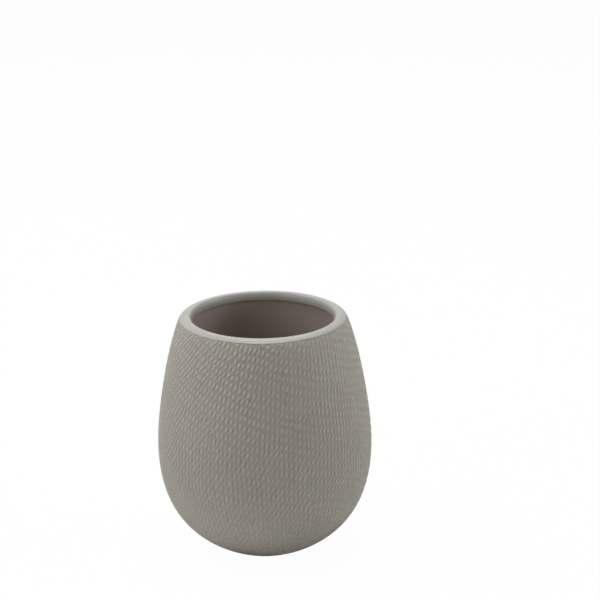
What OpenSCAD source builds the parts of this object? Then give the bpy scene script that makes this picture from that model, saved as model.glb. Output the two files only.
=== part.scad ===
// Bathroom tumbler: a round-bellied beaker of fired clay under two coats of glaze.
// The origin is the middle of the foot, on the table. +Z is up. Lengths are in millimetres.

/* [Overall size] */
// Height from the table to the top of the lip
height = 101; // [95:0.5:110]
// Widest diameter, at the belly
belly_d = 90; // [84:0.5:98]
// Height of the widest place above the table
belly_h = 45; // [40:0.5:50]
// Diameter of the clear opening inside the lip
mouth_d = 59; // [53:0.5:63]

/* [Wall and floor] */
// Wall at the belly, glaze included
wall = 5; // [4:0.25:6.5]
// Floor, from the table to the top of its glaze
floor_t = 6; // [4.5:0.25:8]
// Diameter of the flat middle of the inside floor
floor_flat_d = 24; // [14:1:28]

/* [Outside curve] */
// Angle between the table and the bowl where the bowl leaves the foot
bowl_rise_deg = 25; // [18:1:34]
// Pull of the foot end of the bowl, as a share of the belly height
bowl_low_share = 0.44; // [0.35:0.01:0.5]
// Pull of the belly end of the bowl, as a share of the belly height
bowl_high_share = 0.49; // [0.4:0.01:0.55]
// Angle that the side leans in by where it meets the lip
shoulder_lean_deg = 25; // [18:1:28]
// Pull of the belly end of the side, as a share of the side's height
side_low_share = 0.3; // [0.2:0.01:0.4]
// Pull of the lip end of the side, as a share of the side's height
side_high_share = 0.18; // [0.12:0.01:0.26]

/* [Inside curve] */
// Angle that the inside wall leans by where it meets the lip
inside_lean_deg = 20; // [14:1:24]
// Pull of the lip end of the inside wall, as a share of its height above the belly
inside_top_share = 0.2; // [0.14:0.01:0.28]
// Pull of the belly end of the inside wall, as a share of its height above the belly
inside_side_share = 0.32; // [0.24:0.01:0.4]
// Pull of the belly end of the inside bowl, as a share of the belly's height above the floor
inside_bowl_share = 0.48; // [0.4:0.01:0.55]
// Pull of the floor end of the inside bowl, as a share of its reach from the flat to the belly
inside_floor_share = 0.6; // [0.52:0.01:0.66]

/* [Lip] */
// Width of the lip's outer round, from its top outwards
lip_out_w = 4.3; // [3.4:0.1:5.2]
// Depth of the lip's outer round, from its top down
lip_out_h = 2.3; // [1.9:0.1:3]
// Angle between the vertical and the lip's face where the matt coat ends and the smooth one begins
coat_edge_deg = 50; // [35:1:65]
// Width of the lip's inner round, from its top inwards
lip_in_w = 1.3; // [1.1:0.1:2]
// Depth of the lip's inner round, from its top down
lip_in_h = 3.2; // [2.6:0.1:3.8]
// Depth of the lip's underside, were it to turn right under, below the inner round
lip_under_h = 1.1; // [0.9:0.1:1.6]
// Angle that the lip's underside turns through before it meets the inside wall in a crease
lip_under_deg = 60; // [40:5:70]

/* [Foot] */
// Outer diameter of the flat ring that stands on the table
foot_d = 36; // [30:0.5:40]
// Width of the flat ring
foot_ring_w = 4; // [2.5:0.25:6]
// Depth of the shallow recess inside the ring
foot_recess = 1; // [0.4:0.1:1.6]
// Radius of the ring's two edges
foot_round = 0.3; // [0.1:0.05:0.35]
// Width of the bare clay between the ring and the edge of the outer glaze
bare_band_w = 1.3; // [0.8:0.1:2]
// Height of the edge of the outer glaze above the table
glaze_edge_h = 0.3; // [0.2:0.05:0.6]

/* [Glaze] */
// Thickness of the matt coat on the textured outside
outer_glaze_t = 0.4; // [0.2:0.05:0.45]
// Thickness of the smooth coat on the lip and the inside
inner_glaze_t = 0.4; // [0.2:0.05:0.45]

/* [Smoothness] */
// Straight steps along each long curve
curve_steps = 16; // [12:1:60]
// Straight steps along each round of the lip
lip_steps = 8; // [6:1:30]
// Straight steps along each edge of the foot ring, the lip's underside and the matt part of the lip
edge_steps = 4; // [2:1:10]
// Facets of a turned piece in the quick view
turn_steps = 144; // [48:1:240]

/* [Hidden] */

belly_r = belly_d / 2;
mouth_r = mouth_d / 2;
foot_r = foot_d / 2;
floor_flat_r = floor_flat_d / 2;
lip_top_r = mouth_r + lip_in_w;
inside_belly_r = belly_r - wall;

glaze_edge = [foot_r + bare_band_w, glaze_edge_h];
belly = [belly_r, belly_h];
inside_belly = [inside_belly_r, belly_h];
floor_rim = [floor_flat_r, floor_t];

up = [0, 1];
outwards = [1, 0];
bowl_way = [cos(bowl_rise_deg), sin(bowl_rise_deg)];
shoulder_way = [-sin(shoulder_lean_deg), cos(shoulder_lean_deg)];
inside_way = [-sin(inside_lean_deg), cos(inside_lean_deg)];

// Angle on an ellipse at which its face leans by a given angle from the vertical
function leaning(axes, lean) = atan2(axes.y * sin(lean), axes.x * cos(lean));

// The two rounds of the lip are parts of ellipses that share the lip's top. The underside
// goes on from the inner round, round the same middle.
lip_out_axes = [lip_out_w, lip_out_h];
lip_in_axes = [lip_in_w, lip_in_h];
lip_under_axes = [lip_in_w, lip_under_h];
lip_out_middle = [lip_top_r, height - lip_out_h];
lip_in_middle = [lip_top_r, height - lip_in_h];
lip_out_start = leaning(lip_out_axes, shoulder_lean_deg);
coat_edge = leaning(lip_out_axes, coat_edge_deg);
lip_top = 90;
lip_inmost = 180;
lip_crease = lip_inmost + lip_under_deg;

// Point of an ellipse at an angle, moved into the clay by a depth
function round_point(middle, axes, angle, depth) =
    let (face = [cos(angle) / axes.x, sin(angle) / axes.y])
    middle + [axes.x * cos(angle), axes.y * sin(angle)] - depth * face / norm(face);

// Points along an ellipse from one angle to another
function round_line(middle, axes, from, to, steps, depth) =
    [for (i = [0:steps]) round_point(middle, axes, from + (to - from) * i / steps, depth)];

// Point of a cubic curve with four control points
function curve_point(c, t) =
    pow(1 - t, 3) * c[0] + 3 * pow(1 - t, 2) * t * c[1] + 3 * (1 - t) * pow(t, 2) * c[2]
    + pow(t, 3) * c[3];

// Direction of travel along the same curve
function curve_way(c, t) =
    pow(1 - t, 2) * (c[1] - c[0]) + 2 * (1 - t) * t * (c[2] - c[1]) + pow(t, 2) * (c[3] - c[2]);

// Points along a curve, each moved to the left of its way, into the clay, by a depth
function curve_line(c, depth) =
    [for (i = [0:curve_steps])
        let (t = i / curve_steps, way = curve_way(c, t))
        curve_point(c, t) + depth * [-way.y, way.x] / norm(way)];

function reversed(points) = [for (i = [len(points) - 1:-1:0]) points[i]];

lip_foot = round_point(lip_out_middle, lip_out_axes, lip_out_start, 0);
crease = round_point(lip_in_middle, lip_under_axes, lip_crease, 0);
side_h = lip_foot.y - belly_h;
inside_side_h = crease.y - belly_h;

bowl_curve = [
    glaze_edge,
    glaze_edge + bowl_low_share * belly_h * bowl_way,
    belly - bowl_high_share * belly_h * up,
    belly,
];
side_curve = [
    belly,
    belly + side_low_share * side_h * up,
    lip_foot - side_high_share * side_h * shoulder_way,
    lip_foot,
];
inside_side_curve = [
    crease,
    crease - inside_top_share * inside_side_h * inside_way,
    inside_belly + inside_side_share * inside_side_h * up,
    inside_belly,
];
inside_bowl_curve = [
    inside_belly,
    inside_belly - inside_bowl_share * (belly_h - floor_t) * up,
    floor_rim + inside_floor_share * (inside_belly_r - floor_flat_r) * outwards,
    floor_rim,
];

// The matt outside, from its edge at the foot up onto the lip
function outside_line(depth) = concat(
    curve_line(bowl_curve, depth),
    curve_line(side_curve, depth),
    round_line(lip_out_middle, lip_out_axes, lip_out_start, coat_edge, edge_steps, depth)
);

// The smooth lip and inside, from the edge of the matt coat over the lip and down to the
// middle of the floor
function inside_line(depth) = concat(
    round_line(lip_out_middle, lip_out_axes, coat_edge, lip_top, lip_steps, depth),
    round_line(lip_in_middle, lip_in_axes, lip_top, lip_inmost, lip_steps, depth),
    round_line(lip_in_middle, lip_under_axes, lip_inmost, lip_crease, edge_steps, depth),
    curve_line(inside_side_curve, depth),
    curve_line(inside_bowl_curve, depth),
    [[0, floor_t - depth]]
);

// The bare underside, from the middle outwards over the foot ring
recess_r = foot_r - foot_ring_w;
edge_axes = [foot_round, foot_round];
underside_line = concat(
    [[0, foot_recess]],
    [[recess_r - foot_recess, foot_recess]],
    round_line([recess_r, foot_round], edge_axes, 180, 270, edge_steps, 0),
    round_line([foot_r, foot_round], edge_axes, 270, 360, edge_steps, 0)
);

module turned(points) {
    rotate_extrude($fn = turn_steps) polygon(points);
}

// The fired clay: wall, floor, the core of the lip and the bare foot ring
module clay_body() {
    color([0.72, 0.63, 0.52])
        turned(concat(outside_line(outer_glaze_t), inside_line(inner_glaze_t), underside_line));
}

// The matt coat outside, from just above the foot up onto the lip
module outer_glaze() {
    color([0.55, 0.53, 0.48])
        turned(concat(outside_line(0), reversed(outside_line(outer_glaze_t))));
}

// The smooth coat that covers the lip, the inside wall and the floor
module inner_glaze() {
    color([0.70, 0.68, 0.64])
        turned(concat(inside_line(0), reversed(inside_line(inner_glaze_t))));
}

clay_body();
outer_glaze();
inner_glaze();
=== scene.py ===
"""Looks of a bathroom tumbler: glazed clay, with a fine woven relief outside and a smooth lip and inside.

Lengths are in metres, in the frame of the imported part: the origin is the middle of the foot, +Z is up.
Angles round the tumbler start at -Y, the side that faces the camera, and grow towards +X.
"""

import math

import bpy
import numpy as np
from mathutils import Matrix, Vector

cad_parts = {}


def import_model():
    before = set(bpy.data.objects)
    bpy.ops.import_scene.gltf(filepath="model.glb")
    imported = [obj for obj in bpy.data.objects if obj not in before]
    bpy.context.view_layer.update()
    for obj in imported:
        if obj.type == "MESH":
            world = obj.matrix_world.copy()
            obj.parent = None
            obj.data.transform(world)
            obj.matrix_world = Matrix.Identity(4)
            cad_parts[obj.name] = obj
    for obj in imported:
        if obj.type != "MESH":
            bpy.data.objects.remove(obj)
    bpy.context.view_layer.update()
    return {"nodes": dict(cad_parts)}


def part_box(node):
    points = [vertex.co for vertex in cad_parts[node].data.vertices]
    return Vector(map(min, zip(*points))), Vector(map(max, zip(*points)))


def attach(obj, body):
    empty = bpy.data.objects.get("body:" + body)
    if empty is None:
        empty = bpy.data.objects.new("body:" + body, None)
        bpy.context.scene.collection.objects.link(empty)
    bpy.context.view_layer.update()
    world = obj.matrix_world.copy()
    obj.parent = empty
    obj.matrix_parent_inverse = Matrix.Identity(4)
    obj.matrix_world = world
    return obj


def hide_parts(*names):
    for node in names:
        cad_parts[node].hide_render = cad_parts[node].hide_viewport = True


MM = 0.001
TURN = 2 * math.pi

# Camera, for a picture of 600 by 600 pixels
PICTURE_SIDE = 600
SENSOR_WIDTH = 36.0
FOCAL_PIXELS = 1940
CAMERA_DISTANCE = 0.8
CAMERA_ELEVATION = math.radians(17.96)
CAMERA_ROLL = math.radians(-0.534)
CAMERA_TARGET = Vector((0.01534, 0, 0.10697))
CAMERA_CLIP = (0.01, 10)

# Outline, where the boxes of the coats don't give it. Shares place the control points of its curves.
BELLY_HEIGHT = 45 * MM
BOWL_RISE = math.radians(25)
BOWL_LOW_SHARE = 0.44
BOWL_HIGH_SHARE = 0.49
SHOULDER_LEAN = math.radians(25)
SIDE_LOW_SHARE = 0.30
SIDE_HIGH_SHARE = 0.18
GLAZE_EDGE_RADIUS = 19.3 * MM
GLAZE_THICKNESS = 0.4 * MM
MOUTH_RADIUS = 29.5 * MM
LIP_OUT = (4.3 * MM, 2.3 * MM)
COAT_EDGE_LEAN = math.radians(50)
LIP_IN = (1.3 * MM, 3.2 * MM)
LIP_UNDER = (1.3 * MM, 1.1 * MM)
LIP_UNDER_TURN = math.radians(60)
WALL = 5 * MM
FLOOR_HEIGHT = 6 * MM
FLOOR_FLAT_RADIUS = 12 * MM
INSIDE_LEAN = math.radians(20)
INSIDE_TOP_SHARE = 0.20
INSIDE_SIDE_SHARE = 0.32
INSIDE_BOWL_SHARE = 0.48
INSIDE_FLOOR_SHARE = 0.60

# Points along each curve of the outline
OUTSIDE_POINTS = 300
INSIDE_POINTS = 200
MATT_LIP_POINTS = 30
LIP_POINTS = 40
LIP_UNDER_POINTS = 20

# Woven relief: beads where ribs that run up the side cross slanted rows. The ribs keep their pitch,
# so some of them end on the way to the narrower lip and foot.
RIB_PITCH = 1.9 * MM
RELIEF_DEPTH = 0.30 * MM

# Sum of the waves where a bead begins to rise, and where it is at its top
BEAD_RISE = (-0.4, 0.5)

# Share of a turn from the end of one rib to that of the next, and places at which ribs are counted
GOLDEN_TURN = 0.618034
RIB_COUNT_POINTS = 2000

# Lean of the ribs in ribs a millimetre, the millimetres below the shoulder where they have it, and
# how fast they bend away from it
RIB_LEAN = 0.055
RIB_LEAN_PLACE = 12
RIB_BEND = 0.000675

# Rows round the tumbler, and rows passed in a millimetre down
ROWS_ROUND = 24
ROW_RATE = 0.28

# Unevenness of the ribs and rows, in pitches, and of the beads, in depths of the relief: how much,
# length of its waves, seed
RIB_WOBBLES = ((0.03, 6 * MM, 1), (0.08, 25 * MM, 2))
ROW_WOBBLES = ((0.04, 5 * MM, 3), (0.10, 20 * MM, 4))
BEAD_WOBBLE = (0.06, 3 * MM, 5)

# Number of its waves, and how far their rates spread
WOBBLE_WAVES = 48
WOBBLE_RATES = (0.6, 1.4)

# Height of a mean bead as a share of the relief's depth, the share of it that is left at the lip, and
# how far down the beads and the tint reach their full strength
BEAD_TOP = 0.94
BEAD_AT_LIP_SHARE = 0.5
BEAD_FADE = 0.6 * MM
TINT_FADE = 1.5 * MM

# Length over which the relief starts at the foot, its share low down, and where it begins to grow to
# its full depth and over what length
FOOT_FADE = 0.9 * MM
LOW_RELIEF_SHARE = 0.35
RELIEF_GROWS_FROM = 6 * MM
RELIEF_GROWS_OVER = 30 * MM

# Shares of the crossing ridges and of the rows in the height, and how far the glaze's tone follows
# each set of waves: length down from the lip, share, and how much more it is at +X than in front.
# The tone is partly painted shade in the valleys and a painted highlight on the bead tops, so these
# shares change down the side and round it with the light.
CROSS_SHARES = ((15 * MM, 0.36, -0.08), (60 * MM, 0.40, 0.12))
ROW_SHARES = ((15 * MM, 0.20, -0.03), (60 * MM, 0.05, 0))
RIB_TINTS = ((10 * MM, 0.18, 0.12), (45 * MM, 0.30, 0.11), (62 * MM, 0.28, 0.07), (82 * MM, 0.11, 0.03))
CROSS_TINTS = ((24 * MM, 0.17, 0), (48 * MM, 0.27, -0.08), (70 * MM, 0.22, 0.10), (86 * MM, 0.17, 0.04))
ROW_TINTS = ((30 * MM, 0.15, -0.01), (60 * MM, 0.06, 0))

# Waves of the glaze's tone, partly painted shade and highlight, and of the fine bump: ribs and rows
# in the phase, and how much
RIB_WAVES = ((1, 0, 1.0), (2, 0, -0.6), (1, 1, 0.35))
CROSS_WAVES = ((1, -1, 1.0), (2, -2, 0.55), (1, -2, 0.4))
BUMP_WAVES = ((1, -2, 0.09), (2, -2, 0.13), (2, 0, -0.08))

# Mesh of the matt coat: columns, rows between its edges, rows in from each edge, rows of its back
RELIEF_COLUMNS = 800
RELIEF_ROWS = 104
EDGE_ROWS = (0, 0.15 * MM, 0.4 * MM, 0.9 * MM)
BACK_ROWS = 14

# Step over which its slopes are measured
SLOPE_STEP = 0.02 * MM

# Mesh of the smooth coat, and the length below the crease over which the inside colour takes over
SMOOTH_COLUMNS = 240
LIP_ROWS = 60
INSIDE_ROWS = 120
INSIDE_BLEND = 0.5 * MM

# Angles between faces above which an edge stays sharp
CREASE_SHARP = math.radians(35)
RELIEF_SHARP = math.radians(70)

# Colours between which the clouds run. The pooled and the worn glaze also hold painted shade in the
# valleys and a painted highlight on the bead tops.
POOLED_AND_SHADED_GLAZE = ((0.256, 0.235, 0.192), (0.271, 0.251, 0.209))
WORN_AND_HIGHLIGHTED_GLAZE = ((0.433, 0.408, 0.351), (0.448, 0.424, 0.368))
LIP_GLAZE = ((0.346, 0.338, 0.306), (0.364, 0.357, 0.325))
INSIDE_GLAZE = ((0.446, 0.383, 0.345), (0.476, 0.416, 0.380))
CLAY = ((0.50, 0.42, 0.33), (0.58, 0.50, 0.40))

# Colours of the grain in the matt glaze and of the specks in the clay
GRAIN = (0.300, 0.276, 0.228)
SPECKS = (0.30, 0.23, 0.17)

# Spans of the noise from which clouds, patches and specks are spread out, and span of the tinted waves
CLOUD_SPAN = (0.35, 0.65)
PATCH_SPAN = (0.3, 0.7)
SPECK_SPAN = (0.66, 0.72)
TONE_SPAN = (-0.95, 0.95)

# Drop of the roughness from the darkest tone to the lightest
GLOSS_FROM_TONE = 0.16

# Lamps: name, direction seen from the tumbler, power in watts
LAMPS = (
    ("top_lamp", (0, 0, 1), 5.2),
    ("back_lamp", (0, 0.7, 0.8), 2.6),
    ("back_left_lamp", (-0.75, 0.7, 0.5), 1.2),
    ("high_left_lamp", (-0.7, 0.1, 0.9), 4.1),
    ("front_left_lamp", (-0.76, -0.64, 0.5), 2.6),
    ("right_lamp", (1, 0, 0.45), 4.2),
)
LAMP_AIM = Vector((0, 0, 0.05))
LAMP_DISTANCE = 1.1
LAMP_SIZE = 0.5

# World: share of its white that gloss sees, and its own light
WHITE_IN_GLOSS = 0.9
WORLD_LIGHT = 0.02

# Floor: albedo, share of plain white that the camera sees, half its side, how far it lies below the foot
FLOOR_ALBEDO = 0.94
FLOOR_SHOWN_WHITE = 0.975
FLOOR_HALF = 1.5
FLOOR_DROP = 0.05 * MM

UP = np.array([0.0, 1.0])
OUTWARDS = np.array([1.0, 0.0])


def bezier(controls, count):
    """Points of a cubic curve with four control points."""
    a, b, c, d = (np.asarray(p, float) for p in controls)
    t = np.linspace(0, 1, count)[:, None]
    s = 1 - t
    return s**3 * a + 3 * s**2 * t * b + 3 * s * t**2 * c + t**3 * d


def ellipse(middle, axes, start, end, count):
    """Points of an ellipse from one angle to another."""
    angle = np.linspace(start, end, count)
    return np.c_[middle[0] + axes[0] * np.cos(angle), middle[1] + axes[1] * np.sin(angle)]


def face_angle(axes, lean):
    """Angle on an ellipse at which its face leans by that much from the vertical."""
    return math.atan2(axes[1] * math.sin(lean), axes[0] * math.cos(lean))


def way(lean):
    """Direction in (radius, height) that leans in from the vertical."""
    return np.array([-math.sin(lean), math.cos(lean)])


class Outline:
    """The outlines of the two coats as (radius, height) points.

    The matt one goes from the foot up onto the lip, and the smooth one on to the middle of the floor.
    """

    def __init__(self):
        outer_low, outer_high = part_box("outer_glaze")
        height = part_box("inner_glaze")[1].z
        belly = np.array([outer_high.x, BELLY_HEIGHT])
        lip_top = MOUTH_RADIUS + LIP_IN[0]
        out_middle = (lip_top, height - LIP_OUT[1])
        in_middle = (lip_top, height - LIP_IN[1])
        lip_start = face_angle(LIP_OUT, SHOULDER_LEAN)
        coat_edge = face_angle(LIP_OUT, COAT_EDGE_LEAN)
        under_end = math.pi + LIP_UNDER_TURN
        self.lip_matt = ellipse(out_middle, LIP_OUT, lip_start, coat_edge, MATT_LIP_POINTS)
        self.lip_out = ellipse(out_middle, LIP_OUT, coat_edge, math.pi / 2, LIP_POINTS)
        self.lip_in = ellipse(in_middle, LIP_IN, math.pi / 2, math.pi, LIP_POINTS)
        self.lip_under = ellipse(in_middle, LIP_UNDER, math.pi, under_end, LIP_UNDER_POINTS)

        edge = np.array([GLAZE_EDGE_RADIUS, outer_low.z])
        bowl_way = np.array([math.cos(BOWL_RISE), math.sin(BOWL_RISE)])
        bowl = (
            edge,
            edge + BOWL_LOW_SHARE * BELLY_HEIGHT * bowl_way,
            belly - BOWL_HIGH_SHARE * BELLY_HEIGHT * UP,
            belly,
        )
        lip_foot = self.lip_matt[0]
        side_height = lip_foot[1] - BELLY_HEIGHT
        side = (
            belly,
            belly + SIDE_LOW_SHARE * side_height * UP,
            lip_foot - SIDE_HIGH_SHARE * side_height * way(SHOULDER_LEAN),
            lip_foot,
        )
        self.bowl = bezier(bowl, OUTSIDE_POINTS)
        self.side = bezier(side, OUTSIDE_POINTS)

        crease = self.lip_under[-1]
        inside_belly = np.array([belly[0] - WALL, BELLY_HEIGHT])
        inside_height = crease[1] - BELLY_HEIGHT
        inside_side = (
            crease,
            crease - INSIDE_TOP_SHARE * inside_height * way(INSIDE_LEAN),
            inside_belly + INSIDE_SIDE_SHARE * inside_height * UP,
            inside_belly,
        )
        rim = np.array([FLOOR_FLAT_RADIUS, FLOOR_HEIGHT])
        inside_bowl = (
            inside_belly,
            inside_belly - INSIDE_BOWL_SHARE * (BELLY_HEIGHT - FLOOR_HEIGHT) * UP,
            rim + INSIDE_FLOOR_SHARE * (inside_belly[0] - FLOOR_FLAT_RADIUS) * OUTWARDS,
            rim,
        )
        self.inside_side = bezier(inside_side, INSIDE_POINTS)
        self.inside_bowl = bezier(inside_bowl, INSIDE_POINTS)

    def outside(self):
        return np.vstack([self.bowl, self.side[1:], self.lip_matt[1:]])

    def lip(self):
        return np.vstack([self.lip_out, self.lip_in[1:], self.lip_under[1:]])

    def lip_and_inside(self):
        middle = [[0.0, FLOOR_HEIGHT]]
        return np.vstack([self.lip(), self.inside_side[1:], self.inside_bowl[1:], middle])


class Line:
    """An outline measured along its length, with the direction into the clay at each point."""

    def __init__(self, points):
        self.points = points
        self.along = np.r_[0, np.cumsum(np.hypot(*np.diff(points, axis=0).T))]
        step = np.gradient(points, self.along, axis=0)
        step /= np.linalg.norm(step, axis=1)[:, None]
        self.inward = np.c_[-step[:, 1], step[:, 0]]
        self.length = self.along[-1]

    def at(self, where, depth=0.0):
        """(radius, height) at the lengths where, moved into the clay by depth."""
        place = np.stack([np.interp(where, self.along, self.points[:, i]) for i in (0, 1)], -1)
        inward = np.stack([np.interp(where, self.along, self.inward[:, i]) for i in (0, 1)], -1)
        return place + np.asarray(depth)[..., None] * inward


def smooth_step(x):
    x = np.clip(x, 0, 1)
    return x * x * (3 - 2 * x)


def turned_grid(rings, columns):
    """Vertices of rings given as (rings, 2) or (rings, columns, 2) radius and height."""
    if rings.ndim == 2:
        rings = np.repeat(rings[:, None], columns, 1)
    angle = np.arange(columns) / columns * TURN
    radius, height = rings[..., 0], rings[..., 1]
    return np.stack([radius * np.sin(angle), -radius * np.cos(angle), height], -1).reshape(-1, 3)


def ring_faces(rings, columns, closed=False, leaning=0):
    """Quads between rings of vertices; closed also joins the last ring to the first.

    leaning gives the columns that the quads above each ring lean to the right by.
    """
    ring = np.arange(rings if closed else rings - 1)[:, None]
    column = np.arange(columns)[None]
    here = ring * columns
    above = (ring + 1) % rings * columns
    up = column + np.broadcast_to(leaning, len(ring))[:, None]
    corners = [
        here + column,
        here + (column + 1) % columns,
        above + (up + 1) % columns,
        above + up % columns,
    ]
    return np.stack(corners, -1).reshape(-1, 4).tolist()


def cap_faces(ring_first, columns, pole, last):
    """Triangles from a ring to a pole. last is true where the pole comes after the ring."""
    faces = []
    for column in range(columns):
        here = ring_first + column
        beside = ring_first + (column + 1) % columns
        faces.append((here, beside, pole) if last else (beside, here, pole))
    return faces


def mesh_object(name, vertices, faces, sharp):
    """A smooth piece whose edges stay sharp above an angle."""
    mesh = bpy.data.meshes.new(name)
    mesh.from_pydata(vertices.tolist(), [], faces)
    mesh.validate()
    mesh.polygons.foreach_set("use_smooth", np.ones(len(mesh.polygons), bool))
    mesh.set_sharp_from_angle(angle=sharp)
    piece = bpy.data.objects.new(name, mesh)
    bpy.context.scene.collection.objects.link(piece)
    return piece


class Weave:
    """The woven relief of an outline: beads where ribs that run up the side cross slanted rows.

    Places are a share of a turn and a length down from the lip.
    """

    def __init__(self, line, shoulder):
        self.line = line
        self.shoulder = shoulder
        self.radius = line.points[:, 0].max()

    def wobble(self, turn, down, size, seed):
        """Smooth noise with an rms of 1, whose waves are about as long as size."""
        rng = np.random.default_rng(seed)
        angle, start = rng.uniform(0, TURN, (2, WOBBLE_WAVES))
        rate = rng.uniform(*WOBBLE_RATES, WOBBLE_WAVES) / size
        # Whole numbers of waves close round the tumbler
        counts = np.round(rate * np.cos(angle) * TURN * self.radius)
        waved = (
            np.cos(TURN * (count * turn + fall * down) + begin)
            for count, fall, begin in zip(counts, rate * np.sin(angle), start)
        )
        return sum(waved) / math.sqrt(WOBBLE_WAVES / 2)

    def wobbled(self, phase, wobbles, turn, down):
        """A phase made uneven."""
        for share, size, seed in wobbles:
            phase = phase + share * self.wobble(turn, down, size, seed)
        return phase

    def rib_phase(self, turn, down):
        """Phase of the ribs. Going down, ribs start where another one fits and end where one is too many."""
        fine = np.linspace(0, self.line.length, RIB_COUNT_POINTS)
        fitting = TURN * self.line.at(self.line.length - fine)[:, 0] / RIB_PITCH
        widest = fitting.argmax()
        most = int(fitting[widest])
        growing = (fitting[:widest], fine[:widest])
        shrinking = (-fitting[widest:], fine[widest:])
        starts = [np.interp(count + 0.5, *growing) for count in range(round(fitting[0]), most)]
        ends = [np.interp(-count - 0.5, *shrinking) for count in range(round(fitting[-1]), most)]
        changes = [(place, -1) for place in starts] + [(place, 1) for place in ends]
        phase = (most - len(changes) / 2) * turn
        for i, (place, sign) in enumerate(changes):
            # Half a rib more on one side of the place, and half a rib less on the other
            around = TURN * (turn - i * GOLDEN_TURN) + 1j * (down - place) / self.radius
            phase = phase + sign * np.angle(np.sin(around / 2)) / TURN
        return phase

    def phases(self, turn, down):
        """Phases of the ribs and of the rows, in whole turns from one to the next."""
        below = (down - self.shoulder) / MM
        rib = self.rib_phase(turn, down) + RIB_LEAN * below - RIB_BEND * (below - RIB_LEAN_PLACE) ** 2
        row = ROWS_ROUND * turn - ROW_RATE * below
        return self.wobbled(rib, RIB_WOBBLES, turn, down), self.wobbled(row, ROW_WOBBLES, turn, down)

    def share(self, stops, turn, down):
        """Share at a place, from stops of (length down, share, swing)."""
        downs, shares, swings = zip(*stops)
        return np.interp(down, downs, shares) + np.interp(down, downs, swings) * np.sin(TURN * turn)

    def tint(self, stops, turn, down):
        """How far the tone, partly painted shade and highlight, follows a set of waves. It starts at the
        lip.
        """
        return self.share(stops, turn, down) * smooth_step(down / TINT_FADE)

    def beads(self, turn, down):
        """0 in the valleys and about 1 on the tops of the beads. The beads sink at the lip."""
        rib, row = self.phases(turn, down)
        cross_share = self.share(CROSS_SHARES, turn, down)
        row_share = self.share(ROW_SHARES, turn, down)
        total = (
            (1 - cross_share - row_share) * np.cos(TURN * rib)
            + cross_share * np.cos(TURN * (rib - row))
            + row_share * np.cos(TURN * row)
        )
        low, high = BEAD_RISE
        rise = smooth_step((total - low) / (high - low))
        rise = rise * (BEAD_AT_LIP_SHARE + (1 - BEAD_AT_LIP_SHARE) * smooth_step(down / BEAD_FADE))
        share, size, seed = BEAD_WOBBLE
        return rise * (BEAD_TOP - share * self.wobble(turn, down, size, seed))

    def depth(self, turn, down):
        """Depth of the surface below the outline. It fades towards the foot."""
        up = self.line.length - down
        grown = smooth_step((up - RELIEF_GROWS_FROM) / RELIEF_GROWS_OVER)
        fade = smooth_step(up / FOOT_FADE) * (LOW_RELIEF_SHARE + (1 - LOW_RELIEF_SHARE) * grown)
        return RELIEF_DEPTH * np.clip(1 - self.beads(turn, down), 0, 1) * fade

    def facing(self, turn, down):
        """Directions that the surface faces, for the columns of turn and the rows of down."""
        up = self.line.length - down
        radius = self.line.at(up)[..., 0]
        depth = self.depth(turn, down)
        sideways = (self.depth(turn + SLOPE_STEP / (TURN * radius), down) - depth) / SLOPE_STEP
        downwards = (self.depth(turn, down + SLOPE_STEP) - depth) / SLOPE_STEP
        inward = self.line.at(up, 1.0) - self.line.at(up)
        out = -inward[..., 0] - inward[..., 1] * downwards
        height = -inward[..., 1] + inward[..., 0] * downwards
        angle = TURN * turn
        east = out * np.sin(angle) + sideways * np.cos(angle)
        north = -out * np.cos(angle) + sideways * np.sin(angle)
        faced = np.stack([east, north, height], -1)
        return faced / np.linalg.norm(faced, axis=-1)[..., None]


def quad_phases(phase, leaning):
    """Phase at the four corners of each quad between rings, without jumps inside a quad."""
    ring = np.arange(len(phase) - 1)[:, None]
    here = np.arange(phase.shape[1])[None]
    up = here + leaning[:, None]
    places = ((ring, here), (ring, here + 1), (ring + 1, up + 1), (ring + 1, up))
    corners = np.stack([phase[r, c % phase.shape[1]] for r, c in places], -1)
    return corners - np.round(corners - corners[..., :1])


def set_layer(piece, name, domain, values):
    """Stores values on the first corners or points of a piece, and 0 on the rest."""
    layer = piece.data.attributes.new(name, "FLOAT", domain)
    whole = np.zeros(len(layer.data), np.float32)
    whole[: values.size] = values.ravel()
    layer.data.foreach_set("value", whole)


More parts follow.
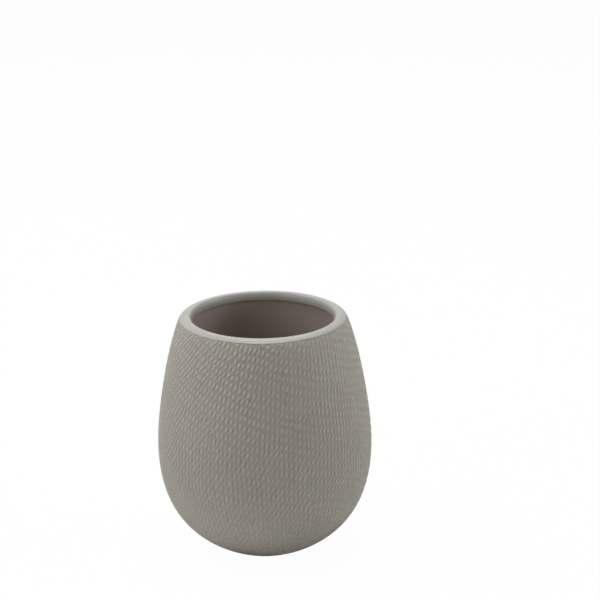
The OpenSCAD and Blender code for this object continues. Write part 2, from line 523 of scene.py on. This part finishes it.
def make_woven_coat(outline):
    """The matt coat: the relief on its outer face, closed by a smooth back."""
    line = Line(outline.outside())
    weave = Weave(line, Line(outline.lip_matt).length)
    turn = np.arange(RELIEF_COLUMNS)[None] / RELIEF_COLUMNS
    edge = np.array(EDGE_ROWS)
    where = np.linspace(edge[-1], line.length - edge[-1], RELIEF_ROWS)
    where = np.r_[edge[:-1], where, line.length - edge[-2::-1]][:, None]
    down = line.length - where
    fronts = len(where)
    leaning = np.zeros(fronts + BACK_ROWS, int)
    leaning[len(edge) - 1 : fronts - len(edge)] = 1

    front = line.at(np.repeat(where, RELIEF_COLUMNS, 1), weave.depth(turn, down))
    back = line.at(np.linspace(line.length, 0, BACK_ROWS), GLAZE_THICKNESS)
    rings = np.vstack([front, np.repeat(back[:, None], RELIEF_COLUMNS, 1)])
    vertices = turned_grid(rings, RELIEF_COLUMNS)
    faces = ring_faces(len(rings), RELIEF_COLUMNS, closed=True, leaning=leaning)
    piece = mesh_object("woven_glaze", vertices, faces, RELIEF_SHARP)

    for name, phase in zip(("rib", "row"), weave.phases(turn, down)):
        set_layer(piece, name, "CORNER", quad_phases(phase, leaning[: fronts - 1]))
    # The tints set how strongly the tone shows each set of waves, painted shade and highlight included.
    for name, stops in (("rib_tint", RIB_TINTS), ("cross_tint", CROSS_TINTS), ("row_tint", ROW_TINTS)):
        set_layer(piece, name, "POINT", weave.tint(stops, turn, down))

    # The edges and the back keep the normals of their faces.
    faced = np.zeros((*rings.shape[:2], 3))
    faced[1 : fronts - 1] = weave.facing(turn, down[1:-1])
    piece.data.normals_split_custom_set_from_vertices(faced.reshape(-1, 3).tolist())
    return piece


def make_smooth_coat(outline):
    """The smooth coat over the lip and the inside, with a pole in the middle of the floor on each face."""
    line = Line(outline.lip_and_inside())
    crease = line.along[len(outline.lip()) - 1]
    over_lip = np.linspace(0, crease, LIP_ROWS)
    down_inside = np.linspace(crease, line.length, INSIDE_ROWS)[1:-1]
    where = np.r_[over_lip, down_inside]
    front = line.at(where)
    back = line.at(where[::-1], GLAZE_THICKNESS)
    rings = np.vstack([front[::-1], back[::-1]])
    vertices = turned_grid(rings, SMOOTH_COLUMNS)
    pole = len(vertices)
    last_ring = (len(rings) - 1) * SMOOTH_COLUMNS
    vertices = np.vstack([vertices, [[0, 0, FLOOR_HEIGHT], [0, 0, FLOOR_HEIGHT - GLAZE_THICKNESS]]])
    faces = ring_faces(len(rings), SMOOTH_COLUMNS)
    faces += cap_faces(0, SMOOTH_COLUMNS, pole, last=False)
    faces += cap_faces(last_ring, SMOOTH_COLUMNS, pole + 1, last=True)
    piece = mesh_object("smooth_glaze", vertices, faces, CREASE_SHARP)
    inside = smooth_step((where - crease) / INSIDE_BLEND)
    on_rings = np.repeat(np.r_[inside[::-1], inside], SMOOTH_COLUMNS)
    set_layer(piece, "inside", "POINT", np.r_[on_rings, 1, 1])
    return piece


class Material:
    """A Principled material with short helpers for its nodes."""

    def __init__(self, name, roughness, specular=0.5):
        self.material = bpy.data.materials.new(name)
        self.material.use_nodes = True
        self.tree = self.material.node_tree
        self.shader = self.tree.nodes["Principled BSDF"]
        self.shader.inputs["Roughness"].default_value = roughness
        self.shader.inputs["Specular IOR Level"].default_value = specular
        self.place = self.tree.nodes.new("ShaderNodeTexCoord").outputs["Object"]

    def link(self, value, socket):
        self.tree.links.new(value, socket)

    def noise(self, scale, detail, rough=0.5):
        node = self.tree.nodes.new("ShaderNodeTexNoise")
        node.inputs["Scale"].default_value = scale
        node.inputs["Detail"].default_value = detail
        node.inputs["Roughness"].default_value = rough
        self.link(self.place, node.inputs["Vector"])
        return node.outputs["Fac"]

    def between(self, value, low, high, to_low=0.0, to_high=1.0):
        """A value spread smoothly from one span to another."""
        node = self.tree.nodes.new("ShaderNodeMapRange")
        node.interpolation_type = "SMOOTHSTEP"
        for key, number in (("From Min", low), ("From Max", high), ("To Min", to_low), ("To Max", to_high)):
            node.inputs[key].default_value = number
        self.link(value, node.inputs["Value"])
        return node.outputs["Result"]

    def clouds(self, scale, detail):
        """Noise from 0 to 1, with much of both."""
        return self.between(self.noise(scale, detail), *CLOUD_SPAN)

    def patches(self, scale, detail, least, most):
        """Noise from least to most."""
        return self.between(self.noise(scale, detail), *PATCH_SPAN, least, most)

    def mix(self, share, first, second):
        node = self.tree.nodes.new("ShaderNodeMix")
        node.data_type = "RGBA"
        self.link(share, node.inputs["Factor"])
        for key, colour in (("A", first), ("B", second)):
            socket = next(s for s in node.inputs if s.name == key and s.type == "RGBA")
            if isinstance(colour, tuple):
                socket.default_value = (*colour, 1)
            else:
                self.link(colour, socket)
        return next(s for s in node.outputs if s.type == "RGBA")

    def attribute(self, name):
        node = self.tree.nodes.new("ShaderNodeAttribute")
        node.attribute_name = name
        return node.outputs["Fac"]

    def math(self, operation, *values):
        node = self.tree.nodes.new("ShaderNodeMath")
        node.operation = operation
        for socket, value in zip(node.inputs, values):
            if isinstance(value, float):
                socket.default_value = value
            else:
                self.link(value, socket)
        return node.outputs["Value"]

    def total(self, terms):
        """Sum of value times share."""
        whole = 0.0
        for value, share in terms:
            whole = self.math("MULTIPLY_ADD", value, share, whole)
        return whole

    def wave(self, ribs, rows):
        """Cosine of a whole number of rib phases plus a whole number of row phases."""
        phase = self.total(((self.attribute("rib"), ribs * TURN), (self.attribute("row"), rows * TURN)))
        return self.math("COSINE", phase)

    def waves(self, terms):
        """Sum of waves given as (ribs, rows, how much)."""
        return self.total([(self.wave(ribs, rows), share) for ribs, rows, share in terms])

    def patchy(self, value, scale, least, most):
        """A value that is weaker in some patches and stronger in others."""
        return self.math("MULTIPLY", value, self.patches(scale, detail=1, least=least, most=most))

    def bump(self, height, distance, strength=1.0, after=None):
        node = self.tree.nodes.new("ShaderNodeBump")
        node.inputs["Strength"].default_value = strength
        node.inputs["Distance"].default_value = distance
        self.link(height, node.inputs["Height"])
        if after is not None:
            self.link(after, node.inputs["Normal"])
        return node.outputs["Normal"]

    def colour(self, value):
        self.link(value, self.shader.inputs["Base Color"])

    def roughness(self, value):
        self.link(value, self.shader.inputs["Roughness"])

    def normal(self, value):
        self.link(value, self.shader.inputs["Normal"])


def woven_material():
    """Matt glaze, darker in the valleys and lighter on the tops of the beads: partly the glaze's own
    breaking, partly painted shade in the valleys and a painted highlight on the tops, stronger or weaker
    round the tumbler with the light.
    """
    look = Material("matt_glaze", roughness=0.50)
    ribs = look.patchy(look.waves(RIB_WAVES), scale=90, least=0.65, most=1.35)
    crossing = look.patchy(look.waves(CROSS_WAVES), scale=110, least=0.5, most=1.5)
    rows = look.patchy(look.wave(0, 1), scale=140, least=0.4, most=1.6)
    tinted = look.total(
        (
            (ribs, look.attribute("rib_tint")),
            (crossing, look.attribute("cross_tint")),
            (rows, look.attribute("row_tint")),
        )
    )
    uneven = look.patches(scale=420, detail=2, least=0.6, most=1.4)
    tone = look.between(look.math("MULTIPLY", tinted, uneven), *TONE_SPAN)

    clouds = look.clouds(scale=28, detail=2)
    grain = look.patches(scale=1500, detail=2, least=0.0, most=0.3)
    # Dark tone: pooled glaze with painted shade in the valleys. Light tone: worn glaze with a painted
    # highlight on the bead tops.
    glaze = look.mix(tone, look.mix(clouds, *POOLED_AND_SHADED_GLAZE), look.mix(clouds, *WORN_AND_HIGHLIGHTED_GLAZE))
    look.colour(look.mix(grain, glaze, GRAIN))

    rough = look.patches(scale=900, detail=2, least=0.50, most=0.64)
    look.roughness(look.math("SUBTRACT", rough, look.math("MULTIPLY", tone, GLOSS_FROM_TONE)))
    ridges = look.bump(look.waves(BUMP_WAVES), distance=0.25 * MM)
    fine = look.noise(scale=2600, detail=2)
    look.normal(look.bump(fine, distance=0.04 * MM, strength=0.6, after=ridges))
    return look.material


def smooth_material():
    """Smooth glaze, a little warmer on the inside than on the lip."""
    look = Material("smooth_glaze", roughness=0.42)
    clouds = look.clouds(scale=40, detail=3)
    inside = look.attribute("inside")
    look.colour(look.mix(inside, look.mix(clouds, *LIP_GLAZE), look.mix(clouds, *INSIDE_GLAZE)))
    look.roughness(look.patches(scale=300, detail=3, least=0.36, most=0.48))
    look.normal(look.bump(look.noise(scale=220, detail=2), distance=0.1 * MM, strength=0.25))
    return look.material


def clay_material():
    """Bare fired clay with darker specks."""
    look = Material("bare_clay", roughness=0.9, specular=0.25)
    clay = look.mix(look.clouds(scale=90, detail=4), *CLAY)
    specks = look.between(look.noise(scale=1400, detail=2), *SPECK_SPAN)
    look.colour(look.mix(specks, clay, SPECKS))
    look.normal(look.bump(look.noise(scale=1800, detail=4, rough=0.7), distance=0.1 * MM, strength=0.6))
    return look.material


def dress(piece, material):
    piece.data.materials.clear()
    piece.data.materials.append(material)


def make_world():
    """White to the camera, a share of it to rays off gloss, and nearly no light of its own."""
    world = bpy.data.worlds.new("studio")
    bpy.context.scene.world = world
    world.use_nodes = True
    nodes, links = world.node_tree.nodes, world.node_tree.links
    nodes.clear()
    lit = nodes.new("ShaderNodeBackground")
    lit.inputs["Color"].default_value = (WORLD_LIGHT, WORLD_LIGHT, WORLD_LIGHT, 1)
    white = nodes.new("ShaderNodeBackground")
    white.inputs["Color"].default_value = (1, 1, 1, 1)
    path = nodes.new("ShaderNodeLightPath")
    gloss = nodes.new("ShaderNodeMath")
    gloss.operation = "MULTIPLY"
    gloss.inputs[1].default_value = WHITE_IN_GLOSS
    links.new(path.outputs["Is Glossy Ray"], gloss.inputs[0])
    seen = nodes.new("ShaderNodeMath")
    seen.operation = "MAXIMUM"
    links.new(path.outputs["Is Camera Ray"], seen.inputs[0])
    links.new(gloss.outputs["Value"], seen.inputs[1])
    mix = nodes.new("ShaderNodeMixShader")
    links.new(seen.outputs["Value"], mix.inputs["Fac"])
    links.new(lit.outputs[0], mix.inputs[1])
    links.new(white.outputs[0], mix.inputs[2])
    out = nodes.new("ShaderNodeOutputWorld")
    links.new(mix.outputs[0], out.inputs["Surface"])


def make_floor():
    """A matt floor that catches the shadow. To the camera it is mostly plain white."""
    corners = [(x * FLOOR_HALF, y * FLOOR_HALF, 0) for x, y in ((-1, -1), (1, -1), (1, 1), (-1, 1))]
    mesh = bpy.data.meshes.new("floor")
    mesh.from_pydata(corners, [], [(0, 1, 2, 3)])
    floor = bpy.data.objects.new("floor", mesh)
    floor.location.z = -FLOOR_DROP
    bpy.context.scene.collection.objects.link(floor)
    material = bpy.data.materials.new("floor")
    material.use_nodes = True
    nodes, links = material.node_tree.nodes, material.node_tree.links
    nodes.clear()
    matt = nodes.new("ShaderNodeBsdfDiffuse")
    matt.inputs["Color"].default_value = (FLOOR_ALBEDO, FLOOR_ALBEDO, FLOOR_ALBEDO, 1)
    white = nodes.new("ShaderNodeEmission")
    path = nodes.new("ShaderNodeLightPath")
    seen = nodes.new("ShaderNodeMath")
    seen.operation = "MULTIPLY"
    seen.inputs[1].default_value = FLOOR_SHOWN_WHITE
    links.new(path.outputs["Is Camera Ray"], seen.inputs[0])
    mix = nodes.new("ShaderNodeMixShader")
    links.new(seen.outputs[0], mix.inputs["Fac"])
    links.new(matt.outputs[0], mix.inputs[1])
    links.new(white.outputs[0], mix.inputs[2])
    out = nodes.new("ShaderNodeOutputMaterial")
    links.new(mix.outputs[0], out.inputs["Surface"])
    floor.data.materials.append(material)


def make_lamp(name, towards, power):
    lamp = bpy.data.lights.new(name, "AREA")
    lamp.size = LAMP_SIZE
    lamp.energy = power
    holder = bpy.data.objects.new(name, lamp)
    bpy.context.scene.collection.objects.link(holder)
    towards = Vector(towards).normalized()
    holder.location = LAMP_AIM + LAMP_DISTANCE * towards
    holder.rotation_euler = towards.to_track_quat("Z", "Y").to_euler()


def make_camera():
    data = bpy.data.cameras.new("camera")
    data.sensor_width = SENSOR_WIDTH
    data.lens = FOCAL_PIXELS / PICTURE_SIDE * SENSOR_WIDTH
    data.clip_start, data.clip_end = CAMERA_CLIP
    camera = bpy.data.objects.new("camera", data)
    bpy.context.scene.collection.objects.link(camera)
    view = Vector((0, math.cos(CAMERA_ELEVATION), -math.sin(CAMERA_ELEVATION)))
    turn = view.to_track_quat("-Z", "Y").to_matrix().to_4x4()
    roll = Matrix.Rotation(CAMERA_ROLL, 4, "Z")
    camera.matrix_world = Matrix.Translation(CAMERA_TARGET - CAMERA_DISTANCE * view) @ turn @ roll
    bpy.context.scene.camera = camera


def main():
    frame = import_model()
    outline = Outline()

    woven = make_woven_coat(outline)
    dress(woven, woven_material())
    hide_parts("outer_glaze")
    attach(woven, "root")

    smooth = make_smooth_coat(outline)
    dress(smooth, smooth_material())
    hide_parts("inner_glaze")
    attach(smooth, "root")

    clay = frame["nodes"]["clay_body"]
    dress(clay, clay_material())

    make_camera()
    make_world()
    make_floor()
    for name, towards, power in LAMPS:
        make_lamp(name, towards, power)
    bpy.context.scene.view_settings.view_transform = "Standard"


main()
